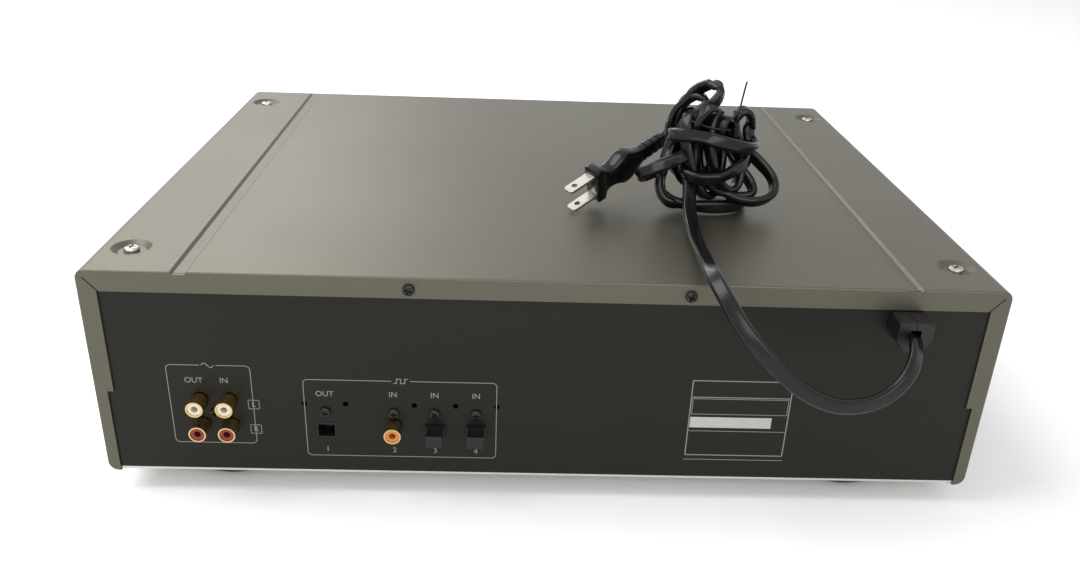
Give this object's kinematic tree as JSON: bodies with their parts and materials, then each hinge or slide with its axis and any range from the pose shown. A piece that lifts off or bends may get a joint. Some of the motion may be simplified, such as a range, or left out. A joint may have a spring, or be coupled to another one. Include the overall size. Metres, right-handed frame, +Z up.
{
  "type": "minidisc deck",
  "caption": "Full-width slot-loading disc recorder in a folded metal case, with rear jacks and a mains cord tied up on its top.",
  "frame": {"origin": "under the middle of the deck, on the surface its feet stand on", "axes": "+X to the right seen from the front, +Y towards the rear jacks, +Z up"},
  "size_m": [0.434, 0.4011, 0.1951],
  "materials": {
    "cover_paint": "satin metallic grey-beige",
    "panel_paint": "satin dark olive grey",
    "zinc_steel": "zinc-plated sheet",
    "plated_screw": "bright plated",
    "black_steel": "black oxide",
    "foot_plastic": "matt",
    "pad_rubber": "matt",
    "black_plastic": "satin",
    "gold_plate": "polished gold plate",
    "white_plastic": "gloss",
    "red_plastic": "gloss",
    "orange_plastic": "gloss",
    "fascia_plastic": "satin",
    "smoked_window": "smoked acrylic",
    "display_glass": "glass",
    "board_laminate": "printed circuit laminate",
    "core_steel": "steel",
    "winding_tape": "tape",
    "sink_aluminium": "extruded",
    "cord_vinyl": "gloss vinyl",
    "blade_nickel": "nickel plated"
  },
  "bodies": {
    "deck": {"top_cover": "cover_paint", "rear_panel": "panel_paint", "chassis_base": "zinc_steel", "transformer_bracket": "zinc_steel", "drive_bracket": "zinc_steel", "drive_plate": "zinc_steel", "cover_top_screws": "plated_screw", "cover_rear_screws": "black_steel", "jack_screws": "black_steel", "foot_shells": "foot_plastic", "foot_pads": "pad_rubber", "rca_blocks": "black_plastic", "optical_out_socket": "black_plastic", "optical_in_sockets": "black_plastic", "strain_relief": "black_plastic", "phones_jack": "black_plastic", "capacitors": "black_plastic", "board_chips": "black_plastic", "rca_shells": "gold_plate", "rca_insulators_white": "white_plastic", "rca_insulators_red": "red_plastic", "coax_insulator": "orange_plastic", "front_fascia": "fascia_plastic", "display_window": "smoked_window", "display_module": "display_glass", "front_board": "board_laminate", "main_board": "board_laminate", "power_board": "board_laminate", "transformer_core": "core_steel", "guide_rods": "core_steel", "drive_motors": "core_steel", "spindle_motor": "core_steel", "transformer_windings": "winding_tape", "heat_sink": "sink_aluminium", "cord_lead": "cord_vinyl", "cord_bundle": "cord_vinyl", "cord_tail": "cord_vinyl", "plug_body": "cord_vinyl", "cord_tie": "cord_vinyl", "plug_blades": "blade_nickel"},
    "slot_flap": {"slot_flap": "black_plastic"},
    "power_button": {"power_button": "fascia_plastic"},
    "eject_button": {"eject_button": "fascia_plastic"},
    "record_button": {"record_button": "fascia_plastic"},
    "play_button": {"play_button": "fascia_plastic"},
    "pause_button": {"pause_button": "fascia_plastic"},
    "stop_button": {"stop_button": "fascia_plastic"},
    "track_knob": {"track_knob": "fascia_plastic"},
    "record_level_knob": {"record_level_knob": "fascia_plastic"},
    "phones_level_knob": {"phones_level_knob": "fascia_plastic"},
    "optical_cap_1": {"optical_cap_1": "black_plastic"},
    "optical_cap_2": {"optical_cap_2": "black_plastic"},
    "turntable": {"turntable": "sink_aluminium"},
    "pickup_sled": {"pickup_sled": "black_plastic"},
    "lead_screw": {"lead_screw": "core_steel"},
    "head_arm": {"head_arm": "black_plastic"},
    "load_slider": {"load_slider": "white_plastic"},
    "cartridge_holder": {"cartridge_holder": "zinc_steel"},
    "loading_gear": {"loading_gear": "white_plastic"}
  },
  "joints": [
    {"name": "flap_hinge", "type": "hinge", "parent": "deck", "child": "slot_flap", "pos_m": [0, -0.1688, 0.0911], "axis": [1, 0, 0], "range_deg": [0, 85], "stiffness_Nm_per_rad": 0.0005},
    {"name": "power_button_press", "type": "slide", "parent": "deck", "child": "power_button", "axis": [0, 1, 0], "range_m": [0, 0.0015], "stiffness_N_per_m": 300},
    {"name": "eject_button_press", "type": "slide", "parent": "deck", "child": "eject_button", "axis": [0, 1, 0], "range_m": [0, 0.0015], "stiffness_N_per_m": 300},
    {"name": "record_button_press", "type": "slide", "parent": "deck", "child": "record_button", "axis": [0, 1, 0], "range_m": [0, 0.0015], "stiffness_N_per_m": 300},
    {"name": "play_button_press", "type": "slide", "parent": "deck", "child": "play_button", "axis": [0, 1, 0], "range_m": [0, 0.0015], "stiffness_N_per_m": 300},
    {"name": "pause_button_press", "type": "slide", "parent": "deck", "child": "pause_button", "axis": [0, 1, 0], "range_m": [0, 0.0015], "stiffness_N_per_m": 300},
    {"name": "stop_button_press", "type": "slide", "parent": "deck", "child": "stop_button", "axis": [0, 1, 0], "range_m": [0, 0.0015], "stiffness_N_per_m": 300},
    {"name": "track_turn", "type": "hinge", "parent": "deck", "child": "track_knob", "pos_m": [0.18, -0.17, 0.048], "axis": [0, -1, 0], "continuous": true},
    {"name": "record_level_turn", "type": "hinge", "parent": "deck", "child": "record_level_knob", "pos_m": [-0.112, -0.17, 0.048], "axis": [0, -1, 0], "range_deg": [-150, 150]},
    {"name": "phones_level_turn", "type": "hinge", "parent": "deck", "child": "phones_level_knob", "pos_m": [-0.155, -0.17, 0.034], "axis": [0, -1, 0], "range_deg": [-150, 150]},
    {"name": "cap_1_pull", "type": "slide", "parent": "deck", "child": "optical_cap_1", "axis": [0, 1, 0], "range_m": [0, 0.015]},
    {"name": "cap_2_pull", "type": "slide", "parent": "deck", "child": "optical_cap_2", "axis": [0, 1, 0], "range_m": [0, 0.015]},
    {"name": "disc_spin", "type": "hinge", "parent": "deck", "child": "turntable", "pos_m": [0, -0.108, 0.079], "axis": [0, 0, 1], "continuous": true},
    {"name": "sled_slide", "type": "slide", "parent": "deck", "child": "pickup_sled", "axis": [0, 1, 0], "range_m": [0, 0.016]},
    {"name": "screw_turn", "type": "hinge", "parent": "deck", "child": "lead_screw", "pos_m": [-0.021, -0.08, 0.07], "axis": [0, 1, 0], "range_deg": [0, 2880]},
    {"name": "head_drop", "type": "hinge", "parent": "pickup_sled", "child": "head_arm", "pos_m": [0, -0.0725, 0.0944], "axis": [1, 0, 0], "range_deg": [0, 12]},
    {"name": "load_slide", "type": "slide", "parent": "deck", "child": "load_slider", "axis": [0, 1, 0], "range_m": [0, 0.012]},
    {"name": "holder_drop", "type": "slide", "parent": "deck", "child": "cartridge_holder", "axis": [0, 0, -1], "range_m": [0, 0.005]},
    {"name": "gear_turn", "type": "hinge", "parent": "deck", "child": "loading_gear", "pos_m": [0.041, -0.108, 0.0977], "axis": [1, 0, 0], "range_deg": [0, 114.6]}
  ],
  "couplings": [
    {"joint": "screw_turn", "follows": "sled_slide", "rad_per_m": 3141.6},
    {"joint": "holder_drop", "follows": "load_slide", "ratio": 0.41667},
    {"joint": "gear_turn", "follows": "load_slide", "rad_per_m": 166.67}
  ]
}
